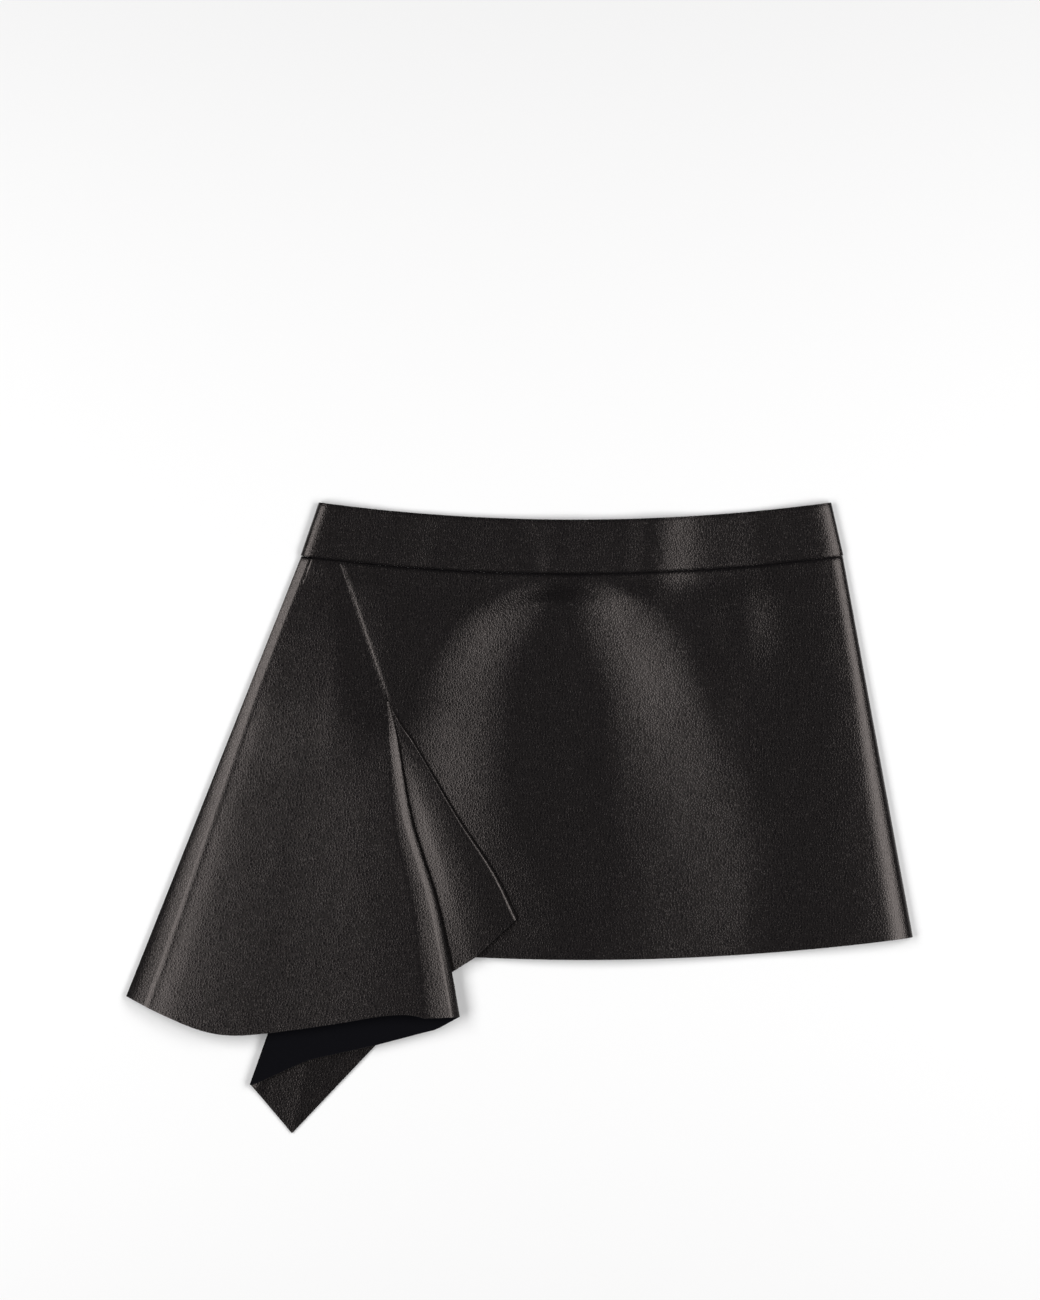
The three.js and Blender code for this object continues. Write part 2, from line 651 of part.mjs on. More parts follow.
// One row of the drape across the skirt, from the back's left side to its last edge
function drapeRow(down, pivotShare, isFolded) {
  const share = (down - pivotShare) / (1 - pivotShare);
  const waistLeft = new THREE.Vector2(waist.left, arcAt(waist, waist.left) - seamGap);
  const outer = waistLeft.clone().lerp(drapeHemLeft, down);
  const sideX = lerp(waist.left + backLeftInset, sideHem.left, down) - seamGap;
  const sideY = lerp(arcAt(waist, sideX) - seamGap / 2, arcAt(hem, sideX), down);
  const side = new THREE.Vector2(sideX, sideY);
  const folded = isFolded ? cascadeAt(share) : [];
  const along = seamFoot.clone().sub(seamTop).normalize();
  const seamSide = new THREE.Vector2(along.y, -along.x).setLength(seamGap / 2);
  const seam = seamTop.clone().addScaledVector(along, pivotDrop * down / pivotShare).add(seamSide);
  seam.y -= down === 0 ? seamGap / 2 : 0;
  const end = isFolded ? new THREE.Vector2(folded[0].x, folded[0].y) : seam;
  const endHeight = isFolded ? folded[0].z : frontHeight(seam.x, seam.y);
  const crease = columnsAt(leftRoll, down);
  const roll = {
    crest: crease.height + leftBrow.rise * down,
    crestInset: crease.inset + leftBrow.width * lerp(0.5, 1, down),
    floorInset: crease.floorInset,
    crease,
  };
  const width = end.distanceTo(outer);
  const swelling = topSwell.rise * (isFolded
    ? 1 - smoothstep(share, 0, topSwell.below)
    : (down / pivotShare) ** topSwell.above);
  const onTop = (inset) => {
    const plan = outer.clone().lerp(end, inset / width);
    plan.y -= down * valueAt(drapeHemDrop, 'drop', inset / width);
    return plan;
  };
  const onFloor = (inset) => outer.clone().lerp(side, inset / side.distanceTo(outer));
  const row = [];
  for (let c = 0; c < grid.flatBack; c += 1) {
    const plan = side.clone().lerp(onFloor(roll.floorInset), c / grid.flatBack);
    row.push(new THREE.Vector3(plan.x, plan.y, leather / 2));
  }
  const rolled = [];
  const place = (inset, isUpper) => (isUpper ? onTop(inset) : onFloor(inset));
  addRoll(rolled, roll, leather / 2, place);
  row.push(...rolled.reverse());
  for (let c = 1; c <= grid.top; c += 1) {
    const across = c / grid.top;
    const plan = onTop(lerp(roll.crestInset, width, across));
    const risen = lerp(across, valueAt(topRise, 'share', across), down);
    const turned = 1 - smoothstep(across, topSwell.turnFrom, 1);
    const height = lerp(roll.crest, endHeight, risen) + swelling * risen * turned;
    row.push(new THREE.Vector3(plan.x, plan.y, fromWaist(plan.x, plan.y, height)));
  }
  row.push(...folded.slice(1));
  return row;
}

// Closed zip inside the centre-back seam: on the back panel, then up over the thicker band
function zipTape() {
  const panelLevel = leather + seamGap + zip.wall / 2;
  const bandStep = bandWall + seamGap + zip.wall / 2;
  const seamY = arcAt(waist, zip.x);
  const places = [
    { y: zip.top, z: bandStep },
    { y: seamY - zip.stepFrom, z: bandStep },
    { y: seamY - zip.stepTo, z: panelLevel },
    { y: zip.bottom, z: panelLevel },
  ];
  const rows = places.map(({ y, z }) => [
    new THREE.Vector3(zip.x - zip.halfWidth, y, z),
    new THREE.Vector3(zip.x + zip.halfWidth, y, z),
  ]);
  return wallGeometry(rows, zip.wall);
}

const skirt = new THREE.Group();

function addPiece(name, geometry, material) {
  const mesh = new THREE.Mesh(geometry, material);
  mesh.name = name;
  skirt.add(mesh);
}

addPiece('waistband_front', bandFront(), bandLook);
addPiece('waistband_back_left', bandBackHalf(true), bandLook);
addPiece('waistband_back_right', bandBackHalf(false), bandLook);
addPiece('front_panel', frontPanel(), leatherLook);
addPiece('back_panel_left', backHalf(true), leatherLook);
addPiece('back_panel_right', backHalf(false), leatherLook);
addPiece('drape_panel', drapePanel(), leatherLook);
addPiece('zip', zipTape(), zipLook);

export default skirt;
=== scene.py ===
import math

import bpy
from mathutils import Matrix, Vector, noise


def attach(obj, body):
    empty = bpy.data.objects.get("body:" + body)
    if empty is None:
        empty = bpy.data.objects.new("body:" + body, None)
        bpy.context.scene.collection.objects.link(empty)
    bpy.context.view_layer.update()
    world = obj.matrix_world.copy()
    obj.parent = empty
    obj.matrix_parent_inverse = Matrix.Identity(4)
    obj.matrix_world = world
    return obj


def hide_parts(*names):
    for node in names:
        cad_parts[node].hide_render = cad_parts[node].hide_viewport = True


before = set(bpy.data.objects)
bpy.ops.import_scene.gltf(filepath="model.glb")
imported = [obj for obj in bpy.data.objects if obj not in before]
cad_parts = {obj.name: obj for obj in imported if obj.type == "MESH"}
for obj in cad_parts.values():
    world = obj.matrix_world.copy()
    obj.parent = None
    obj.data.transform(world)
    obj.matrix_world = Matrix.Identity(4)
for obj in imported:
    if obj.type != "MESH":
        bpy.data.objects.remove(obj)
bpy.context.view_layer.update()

# Table, softboxes and camera
# The skirt lies on a plain white table between two tall softboxes, under a camera straight
# above it. Flat leather mirrors the dim room, and leather that slopes mirrors a softbox.
camera_height = 6.0
view_height = 0.9945
view_centre = (0.0004, 0.1285)
sensor_side = 36.0
camera_data = bpy.data.cameras.new("camera")
camera_data.sensor_width = sensor_side
camera_data.lens = sensor_side * camera_height / view_height
camera = bpy.data.objects.new("camera", camera_data)
camera.location = (*view_centre, camera_height)
bpy.context.scene.collection.objects.link(camera)
bpy.context.scene.camera = camera
bpy.context.scene.view_settings.view_transform = "Standard"

room = bpy.data.worlds.new("room")
room.use_nodes = True
room_light = room.node_tree.nodes["Background"]
room_light.inputs["Color"].default_value = (1.0, 0.97, 0.98, 1)
room_light.inputs["Strength"].default_value = 0.05
bpy.context.scene.world = room

softboxes = (
    {"name": "softbox_left", "at": (-1.15, 0.05, 1.47), "size": (0.9, 1.9), "watts": 28},
    {"name": "softbox_right", "at": (1.15, 0.05, 1.47), "size": (0.9, 1.9), "watts": 28},
)
for box in softboxes:
    light = bpy.data.lights.new(box["name"], "AREA")
    light.shape = "RECTANGLE"
    light.size, light.size_y = box["size"]
    light.energy = box["watts"]
    lamp = bpy.data.objects.new(box["name"], light)
    lamp.location = box["at"]
    lamp.rotation_euler = (0, math.atan2(box["at"][0], box["at"][2]), 0)
    lamp.visible_camera = False
    bpy.context.scene.collection.objects.link(lamp)

table_side = 7.0
table_drop = 0.0002
bpy.ops.object.select_all(action="DESELECT")
bpy.ops.mesh.primitive_plane_add(size=table_side, location=(0, 0, -table_drop))
table = bpy.context.object
table.name = "table"
board = bpy.data.materials.new("white_board")
board.use_nodes = True
board_shader = board.node_tree.nodes["Principled BSDF"]
board_shader.inputs["Base Color"].default_value = (0.9, 0.9, 0.9, 1)
board_shader.inputs["Roughness"].default_value = 0.9
board_shader.inputs["Specular IOR Level"].default_value = 0.2
table.data.materials.append(board)

# Waistband front
# One curved strip of doubled leather, wrapped round both side folds. It is cut on a shallow
# arc, turned in along its top and sewn to the panels, so its lower edge rolls into the seam.
band_wall = 1.8
seam_gap = 0.3
band_top = {"low": 228.0, "middle": 42.5, "radius": 1463, "left": -152.6, "right": 237.5}
waist = {"low": 186.7, "middle": 40.2, "radius": 1564, "left": -166.4, "right": 246.7}
band_level = 4.2
band_left = {"crest": 7.2, "top_inset": 7.5, "crest_inset": 8.5, "floor_inset": 5, "settle": 60}
band_right = {"crest": 7.2, "top_inset": 12, "crest_inset": 13, "floor_inset": 5, "settle": 50}
roll_form = {"edge": 0.25, "tightest": 0.9}
crease_form = {"turn": 0.5, "swell": 1.7, "straight": 0.85, "round": 4}
band_grid = {"rows": 30, "middle": 200, "upper": 12, "lower": 8}
band_swells = (
    {"x": 40, "across": 62, "rise": 2.4},
    {"x": 105, "across": 24, "rise": 3.0},
)
seam_draw = 0.3
band_seam_dip = {"depth": 0.9, "reach": 1.5}
band_top_dip = {"depth": 0.5, "reach": 1.6}
band_marks = (
    {"from": (-58, 238), "to": (-66, 200), "width": 13, "rise": 0.35},
    {"from": (2, 232), "to": (10, 196), "width": 9, "rise": -0.3},
    {"from": (34, 230), "to": (28, 192), "width": 10, "rise": 0.35},
    {"from": (84, 226), "to": (78, 196), "width": 12, "rise": -0.35},
    {"from": (186, 236), "to": (178, 200), "width": 14, "rise": -0.3},
)


def lerp(a, b, share):
    return a + (b - a) * share


def smooth(value, low, high):
    share = min(1.0, max(0.0, (value - low) / (high - low)))
    return share * share * (3 - 2 * share)


def arc_at(arc, x):
    """Height of a shallow arc above its lowest point."""
    return arc["low"] + (x - arc["middle"]) ** 2 / (2 * arc["radius"])


def mark_at(marks, x, y):
    """Height of soft ridges and troughs, each along a line, above the cloth they cross."""
    total = 0.0
    for mark in marks:
        (from_x, from_y), (to_x, to_y) = mark["from"], mark["to"]
        span_x, span_y = to_x - from_x, to_y - from_y
        length = span_x ** 2 + span_y ** 2
        share = ((x - from_x) * span_x + (y - from_y) * span_y) / length
        share = min(1.0, max(0.0, share))
        off_x, off_y = x - from_x - share * span_x, y - from_y - share * span_y
        total += mark["rise"] * math.exp(-(off_x ** 2 + off_y ** 2) / mark["width"] ** 2)
    return total


def creased_side(roll, reach, turn):
    """Upper half of a creased roll: a soft slope to the crease, then a steeper one to the edge."""
    inset, height = roll["crease"]["inset"], roll["crease"]["height"]
    if turn <= crease_form["turn"]:
        share = turn / crease_form["turn"]
        fallen = share ** crease_form["swell"]
        return lerp(roll["crest_inset"], inset, share), lerp(roll["crest"], height, fallen)
    share = (turn - crease_form["turn"]) / (1 - crease_form["turn"])
    fallen = lerp(share ** crease_form["round"], share, crease_form["straight"])
    return inset * (1 - share), lerp(height, reach, fallen)


def roll_quarter(roll, floor, upper, turn):
    """Inset and height along the upper or lower quarter of a side roll; turn is from 0 to 1."""
    least = math.sqrt(roll["floor_inset"] * (floor + roll_form["tightest"]))
    reach = floor + max((roll["crest"] - floor) * roll_form["edge"], least)
    angle = turn * math.pi / 2
    if upper and "crease" in roll:
        return creased_side(roll, reach, turn)
    if upper:
        height = reach + (roll["crest"] - reach) * math.cos(angle)
        return roll["crest_inset"] * (1 - math.sin(angle)), height
    inset = roll["floor_inset"] * (1 - math.cos(angle))
    return inset, reach - (reach - floor) * math.sin(angle)


def add_roll(row, roll, floor, steps, place):
    """Adds a roll's points to a row, from its crest round to the table."""
    upper, lower = steps
    for step in range(upper):
        inset, height = roll_quarter(roll, floor, True, step / upper)
        row.append(Vector((*place(inset, True), height)))
    for step in range(lower + 1):
        inset, height = roll_quarter(roll, floor, False, step / lower)
        row.append(Vector((*place(inset, False), height)))


def wall_piece(name, rows, wall, finishes, pinches=None):
    """A closed wall of cloth round rows of points on its middle, in millimetres, its cut edge
    slightly rounded. finishes are its face, its wrong side and its cut edge, and pinches gives
    the share of the wall's thickness that is left at a point."""
    ids, points, walls = [], [], []
    for r, row in enumerate(rows):
        ids.append(list(range(len(points), len(points) + len(row))))
        points.extend(row)
        walls.extend(pinches[r] if pinches else [1.0] * len(row))
    walls = [wall * share for share in walls]
    quads = []
    for upper, lower in zip(ids, ids[1:]):
        for c in range(min(len(upper), len(lower)) - 1):
            quads.append((upper[c], lower[c], lower[c + 1], upper[c + 1]))
    normals = [Vector() for _ in points]
    edges = set()
    for quad in quads:
        a, b, c, d = (points[i] for i in quad)
        turned = (c - a).cross(d - b)
        for i, corner in enumerate(quad):
            normals[corner] += turned
            edges.add((corner, quad[(i + 1) % 4]))
    for normal in normals:
        normal.normalize()
    border = [(a, b) for a, b in edges if (b, a) not in edges]
    outward = {}
    for a, b in border:
        side = (points[b] - points[a]).cross(normals[a] + normals[b]).normalized()
        outward[a] = outward.get(a, Vector()) + side
        outward[b] = outward.get(b, Vector()) + side
    count = len(points)
    to_metres = 0.001
    places = [(p + n * w / 2) * to_metres for p, n, w in zip(points, normals, walls)]
    places += [(p - n * w / 2) * to_metres for p, n, w in zip(points, normals, walls)]
    faces = list(quads)
    faces += [tuple(count + i for i in reversed(quad)) for quad in quads]
    look = [0] * len(quads) + [1] * len(quads)
    rim = ((0.33, 0.09), (0.0, 0.13), (-0.33, 0.09))
    rings = {}
    for i, side in outward.items():
        side.normalize()
        ring = [i]
        for level, bulge in rim:
            ring.append(len(places))
            shift = normals[i] * walls[i] * level + side * bulge * walls[i] / wall
            places.append((points[i] + shift) * to_metres)
        rings[i] = ring + [count + i]
    for a, b in sorted(border):
        for level in range(len(rim) + 1):
            low_a, low_b = rings[a][level + 1], rings[b][level + 1]
            faces.append((rings[b][level], rings[a][level], low_a, low_b))
            look.append(2)
    mesh = bpy.data.meshes.new(name)
    mesh.from_pydata([tuple(p) for p in places], [], faces)
    for finish in finishes:
        mesh.materials.append(finish)
    mesh.polygons.foreach_set("material_index", look)
    mesh.update()
    piece = bpy.data.objects.new(name, mesh)
    bpy.context.scene.collection.objects.link(piece)
    bpy.ops.object.select_all(action="DESELECT")
    piece.select_set(True)
    bpy.context.view_layer.objects.active = piece
    bpy.ops.object.shade_smooth_by_angle(angle=math.radians(38))
    return piece


def band_height(x, left=waist["left"], right=waist["right"], share=1.0):
    """Height of the waistband's middle over the table; share is from its top to its foot."""
    start = left + lerp(band_left["top_inset"], band_left["crest_inset"], share)
    end = right - lerp(band_right["top_inset"], band_right["crest_inset"], share)
    sink_left = smooth(x, start, start + band_left["settle"])
    sink_right = smooth(x, end - band_right["settle"], end)
    level = band_level
    for wave in band_swells:
        level += wave["rise"] * math.exp(-((x - wave["x"]) / wave["across"]) ** 2)
    return lerp(lerp(band_left["crest"], level, sink_left), band_right["crest"], sink_right)


def edge_dip(dip, away):
    """How far a sewn or turned edge rolls down, a distance away from that edge."""
    return dip["depth"] * math.exp(-(away / dip["reach"]) ** 2)


def edge_shares(count, crowding=2.4):
    """Shares from 0 to 1, closer together at both ends."""
    shares = []
    for step in range(count + 1):
        place = 2 * step / count - 1
        even = abs(place) ** (1 / crowding)
        shares.append(0.5 + math.copysign(lerp(abs(place), even, 0.62), place) / 2)
    return shares


def grain_group():
    """Fine pebbled grain: rounded cells of uneven size with creases between them, and the
    soft ripples of worn leather under them."""
    group = bpy.data.node_groups.new("leather_grain", "ShaderNodeTree")
    face = group.interface
    face.new_socket("Vector", in_out="INPUT", socket_type="NodeSocketVector")
    for name, value in (("Cells per metre", 900.0), ("Crease width", 0.3), ("Unevenness", 0.5)):
        socket = face.new_socket(name, in_out="INPUT", socket_type="NodeSocketFloat")
        socket.default_value = value
    for name in ("Height", "Crease", "Tone", "Ripple"):
        face.new_socket(name, in_out="OUTPUT", socket_type="NodeSocketFloat")
    nodes, links = group.nodes, group.links
    taken = nodes.new("NodeGroupInput")
    given = nodes.new("NodeGroupOutput")

    wander = nodes.new("ShaderNodeTexNoise")
    wander.inputs["Scale"].default_value = 420
    wander.inputs["Detail"].default_value = 2
    links.new(taken.outputs["Vector"], wander.inputs["Vector"])
    shift = nodes.new("ShaderNodeVectorMath")
    shift.operation = "MULTIPLY_ADD"
    shift.inputs[1].default_value = (0.0011, 0.0011, 0.0011)
    links.new(wander.outputs["Color"], shift.inputs[0])
    links.new(taken.outputs["Vector"], shift.inputs[2])

    cells = nodes.new("ShaderNodeTexVoronoi")
    cells.feature = "DISTANCE_TO_EDGE"
    links.new(shift.outputs[0], cells.inputs["Vector"])
    links.new(taken.outputs["Cells per metre"], cells.inputs["Scale"])
    pebble = nodes.new("ShaderNodeMapRange")
    pebble.interpolation_type = "SMOOTHSTEP"
    links.new(cells.outputs["Distance"], pebble.inputs["Value"])
    links.new(taken.outputs["Crease width"], pebble.inputs["From Max"])

    lumps = nodes.new("ShaderNodeTexNoise")
    lumps.inputs["Scale"].default_value = 900
    lumps.inputs["Detail"].default_value = 3
    lumps.inputs["Roughness"].default_value = 0.6
    links.new(taken.outputs["Vector"], lumps.inputs["Vector"])
    uneven = nodes.new("ShaderNodeMath")
    uneven.operation = "MULTIPLY"
    links.new(lumps.outputs["Fac"], uneven.inputs[0])
    links.new(taken.outputs["Unevenness"], uneven.inputs[1])
    height = nodes.new("ShaderNodeMath")
    height.operation = "ADD"
    links.new(pebble.outputs["Result"], height.inputs[0])
    links.new(uneven.outputs[0], height.inputs[1])
    links.new(height.outputs[0], given.inputs["Height"])

    crease = nodes.new("ShaderNodeMath")
    crease.operation = "SUBTRACT"
    crease.inputs[0].default_value = 1
    links.new(pebble.outputs["Result"], crease.inputs[1])
    links.new(crease.outputs[0], given.inputs["Crease"])

    cloud = nodes.new("ShaderNodeTexNoise")
    cloud.inputs["Scale"].default_value = 26
    cloud.inputs["Detail"].default_value = 4
    links.new(taken.outputs["Vector"], cloud.inputs["Vector"])
    links.new(cloud.outputs["Fac"], given.inputs["Tone"])

    ripple = nodes.new("ShaderNodeTexNoise")
    ripple.inputs["Scale"].default_value = 62
    ripple.inputs["Detail"].default_value = 1
    ripple.inputs["Roughness"].default_value = 0.5
    links.new(taken.outputs["Vector"], ripple.inputs["Vector"])
    links.new(ripple.outputs["Fac"], given.inputs["Ripple"])
    return group


leather_grain = grain_group()
ripple_depth = 0.00014


def leather_finish(name, dark, light, gloss, depth, cells):
    """Black leather: its deep and pale tones, its least and most roughness, and its grain, with painted
    shade darkening the grain's creases.
    """
    material = bpy.data.materials.new(name)
    material.use_nodes = True
    nodes, links = material.node_tree.nodes, material.node_tree.links
    shader = nodes["Principled BSDF"]
    shader.inputs["Specular IOR Level"].default_value = 0.5
    shader.inputs["Specular Tint"].default_value = (1, 0.89, 0.85, 1)
    place = nodes.new("ShaderNodeTexCoord")
    grain = nodes.new("ShaderNodeGroup")
    grain.node_tree = leather_grain
    grain.inputs["Cells per metre"].default_value = cells
    links.new(place.outputs["Object"], grain.inputs["Vector"])
    tone = nodes.new("ShaderNodeMix")
    tone.data_type = "RGBA"
    tone.inputs["A"].default_value = (*dark, 1)
    tone.inputs["B"].default_value = (*light, 1)
    links.new(grain.outputs["Tone"], tone.inputs["Factor"])
    # Painted shade: the base colour is multiplied darker in the grain's creases, standing in for the shade
    # that falls in them.
    painted_crease_shade = nodes.new("ShaderNodeMix")
    painted_crease_shade.data_type = "RGBA"
    painted_crease_shade.blend_type = "MULTIPLY"
    painted_crease_shade.inputs["B"].default_value = (0.55, 0.55, 0.58, 1)
    links.new(grain.outputs["Crease"], painted_crease_shade.inputs["Factor"])
    links.new(tone.outputs["Result"], painted_crease_shade.inputs["A"])
    links.new(painted_crease_shade.outputs["Result"], shader.inputs["Base Color"])
    sheen = nodes.new("ShaderNodeMapRange")
    sheen.inputs["To Min"].default_value, sheen.inputs["To Max"].default_value = gloss
    links.new(grain.outputs["Crease"], sheen.inputs["Value"])
    links.new(sheen.outputs["Result"], shader.inputs["Roughness"])
    rippled = nodes.new("ShaderNodeBump")
    rippled.inputs["Distance"].default_value = ripple_depth
    links.new(grain.outputs["Ripple"], rippled.inputs["Height"])
    bump = nodes.new("ShaderNodeBump")
    bump.inputs["Distance"].default_value = depth
    links.new(grain.outputs["Height"], bump.inputs["Height"])
    links.new(rippled.outputs["Normal"], bump.inputs["Normal"])
    links.new(bump.outputs["Normal"], shader.inputs["Normal"])
    return material


def matt_finish(name, dark, light, roughness, scale, depth):
    """The raw back or cut edge of leather: dull, slightly fibrous."""
    material = bpy.data.materials.new(name)
    material.use_nodes = True
    nodes, links = material.node_tree.nodes, material.node_tree.links
    shader = nodes["Principled BSDF"]
    shader.inputs["Roughness"].default_value = roughness
    shader.inputs["Specular IOR Level"].default_value = 0.06
    place = nodes.new("ShaderNodeTexCoord")
    fibre = nodes.new("ShaderNodeTexNoise")
    fibre.inputs["Scale"].default_value = scale
    fibre.inputs["Detail"].default_value = 4
    links.new(place.outputs["Object"], fibre.inputs["Vector"])
    tone = nodes.new("ShaderNodeMix")
    tone.data_type = "RGBA"
    tone.inputs["A"].default_value = (*dark, 1)
    tone.inputs["B"].default_value = (*light, 1)
    links.new(fibre.outputs["Fac"], tone.inputs["Factor"])
    links.new(tone.outputs["Result"], shader.inputs["Base Color"])
    bump = nodes.new("ShaderNodeBump")
    bump.inputs["Distance"].default_value = depth
    links.new(fibre.outputs["Fac"], bump.inputs["Height"])
    links.new(bump.outputs["Normal"], shader.inputs["Normal"])
    return material


band_leather = leather_finish(
    "band_leather", (0.0018, 0.0016, 0.0021), (0.0034, 0.0031, 0.0037), (0.22, 0.30), 0.00006, 560)
cut_edge = matt_finish(
    "cut_edge", (0.03, 0.028, 0.028), (0.07, 0.066, 0.064), 0.7, 1800, 0.00005)

band_rows = []
for share in edge_shares(band_grid["rows"]):
    left = lerp(band_top["left"], waist["left"], share)
    right = lerp(band_top["right"], waist["right"], share)

    def band_line(x):
        return lerp(arc_at(band_top, x), arc_at(waist, x) + seam_gap / 2 + seam_draw, share)

    left_end = {**band_left, "crest_inset": lerp(
        band_left["top_inset"], band_left["crest_inset"], share)}
    right_end = {**band_right, "crest_inset": lerp(
        band_right["top_inset"], band_right["crest_inset"], share)}
    row = []
    steps = (band_grid["upper"], band_grid["lower"])
    add_roll(row, left_end, band_wall / 2, steps,
             lambda inset, _: (left + inset, band_line(left + inset)))
    row.reverse()
    start, end = left + left_end["crest_inset"], right - right_end["crest_inset"]
    for step in range(1, band_grid["middle"]):
        x = lerp(start, end, step / band_grid["middle"])
        y = band_line(x)
        fade = smooth(x, start, start + 12) * (1 - smooth(x, end - 12, end))
        height = band_height(x, left, right, share) + mark_at(band_marks, x, y) * fade
        row.append(Vector((x, y, height)))
    add_roll(row, right_end, band_wall / 2, steps,
             lambda inset, _: (right - inset, band_line(right - inset)))
    for point in row:
        foot = point.y - arc_at(waist, point.x)
        head = arc_at(band_top, point.x) - point.y
        held = smooth(point.z, band_wall, band_level)
        point.z -= held * (edge_dip(band_seam_dip, foot) + edge_dip(band_top_dip, head))
    band_rows.append(row)
waistband_front = wall_piece(
    "waistband_front_leather", band_rows, band_wall, (band_leather, band_leather, cut_edge))
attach(waistband_front, "root")
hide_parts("waistband_front")

# Waistband back halves
# The same doubled strip behind, lying flat on the table and parted at the centre back, where
# the closure is sewn in.
back_grid = {"rows": 12, "columns": 60}


def band_back_half(is_left):
    centre = waist["middle"] + (-seam_gap if is_left else seam_gap) / 2
    rows = []
    for share in edge_shares(back_grid["rows"]):
        if is_left:
            outer = lerp(band_top["left"], waist["left"], share)
            start, end = outer + band_left["floor_inset"] + seam_gap, centre
        else:
            outer = lerp(band_top["right"], waist["right"], share)
            start, end = centre, outer - band_right["floor_inset"] - seam_gap
        row = []
        for step in range(back_grid["columns"] + 1):
            x = lerp(start, end, step / back_grid["columns"])
            y = lerp(arc_at(band_top, x), arc_at(waist, x) + seam_gap / 2, share)
            row.append(Vector((x, y, band_wall / 2)))
        rows.append(row)
    return rows


for side, is_left, flat, area in (
    ("left", True, (0.212, 0.055), 0.0085),
    ("right", False, (0.212, 0.055), 0.0085),
):
    half = wall_piece(f"waistband_back_{side}_leather", band_back_half(is_left), band_wall,
                      (band_leather, band_leather, cut_edge))
    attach(half, "root")
    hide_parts(f"waistband_back_{side}")

# Front panel
# One A-line panel of soft leather, cut on a slant at the skirt's left and wrapped round the
# right side fold. It lies over the back in a low swell with two flared slopes.
leather = 1.0
hem = {"low": -107.9, "middle": 52, "radius": 1830}
side_hem = {"left": -215.3, "right": 300.3}
seam_top = Vector((-136.6, 196.7))
seam_foot = Vector((-34.0, -106.3))
pivot_drop = 110.6
seam_way = (seam_foot - seam_top).normalized()
pivot = seam_top + seam_way * pivot_drop
waist_blend = 24
right_roll = (
    {"at": 0, "crest": 7.2, "crest_inset": 10, "floor_inset": 5.5},
    {"at": 0.3, "crest": 8.4, "crest_inset": 12, "floor_inset": 6},
    {"at": 0.55, "crest": 9.8, "crest_inset": 16, "floor_inset": 6.5},
    {"at": 1, "crest": 11.5, "crest_inset": 21, "floor_inset": 7},
)
front_dome = (
    {"at": -108, "left": 0, "left_width": 140, "right": 128, "right_width": 150, "rise": 4.8, "floor": 6.1},
    {"at": -50, "left": -28, "left_width": 112, "right": 138, "right_width": 148, "rise": 7.0, "floor": 6.1},
    {"at": 0, "left": -48, "left_width": 96, "right": 132, "right_width": 138, "rise": 8.2, "floor": 6.0},
    {"at": 55, "left": -50, "left_width": 92, "right": 114, "right_width": 96, "rise": 8.6, "floor": 5.1},
    {"at": 105, "left": -43, "left_width": 88, "right": 99, "right_width": 86, "rise": 9.0, "floor": 4.2},
    {"at": 150, "left": -16, "left_width": 74, "right": 80, "right_width": 82, "rise": 8.2, "floor": 3.9},
    {"at": 184, "left": 24, "left_width": 34, "right": 54, "right_width": 34, "rise": 5.0, "floor": 4.1},
)
swell = {"x": 171, "y": 150, "across": 23, "along": 34, "rise": 2.8}
pivot_lift = {"rise": 3.0, "above": 70, "below": 22, "across": 34}
seam_levels = (
    {"at": -108, "level": 5.2},
    {"at": 0, "level": 4.2},
    {"at": 90, "level": 3.2},
    {"at": 200, "level": band_level},
)
roll_rise_start = 165
body_top = 200
body_length = 300
front_grid = {"rows": 128, "middle": 180, "upper": 18, "lower": 10}
seam_dip = {"depth": 0.9, "reach": 1.3}
slant_dip = {"depth": 0.3, "reach": 1.2}
unevenness = {"rise": 0.22, "across": 34}


def value_at(table, name, place):
    """Value of a named column between the rows of a table, along a smooth curve."""
    if place <= table[0]["at"]:
        return table[0][name]
    if place >= table[-1]["at"]:
        return table[-1][name]
    after = next(i for i, row in enumerate(table) if row["at"] > place)
    before = after - 1
    span = table[after]["at"] - table[before]["at"]

    def slope(i):
        low, high = table[max(i - 1, 0)], table[min(i + 1, len(table) - 1)]
        return (high[name] - low[name]) / (high["at"] - low["at"]) * span

    t = (place - table[before]["at"]) / span
    bend = t * (1 - t) * (1 - t) * slope(before) + t * t * (t - 1) * slope(after)
    return lerp(table[before][name], table[after][name], t * t * (3 - 2 * t)) + bend


def roll_at(table, place):
    """Crest and insets of a side roll at a place down the skirt."""
    return {
        "crest": value_at(table, "crest", place),
        "crest_inset": value_at(table, "crest_inset", place),
        "floor_inset": lerp(table[0]["floor_inset"], table[-1]["floor_inset"], place),
    }


def side_right(down):
    """Plan point on the right side fold, from the waist (0) to the hem (1)."""
    waist_y = arc_at(waist, waist["right"]) - seam_gap / 2
    return Vector((
        lerp(waist["right"], side_hem["right"], down),
        lerp(waist_y, arc_at(hem, side_hem["right"]), down),
    ))


def from_waist(x, y, height):
    """Height at the waist seam, easing into a body piece's own height below it."""
    return lerp(band_height(x), height, smooth(arc_at(waist, x) - y, 0, waist_blend))


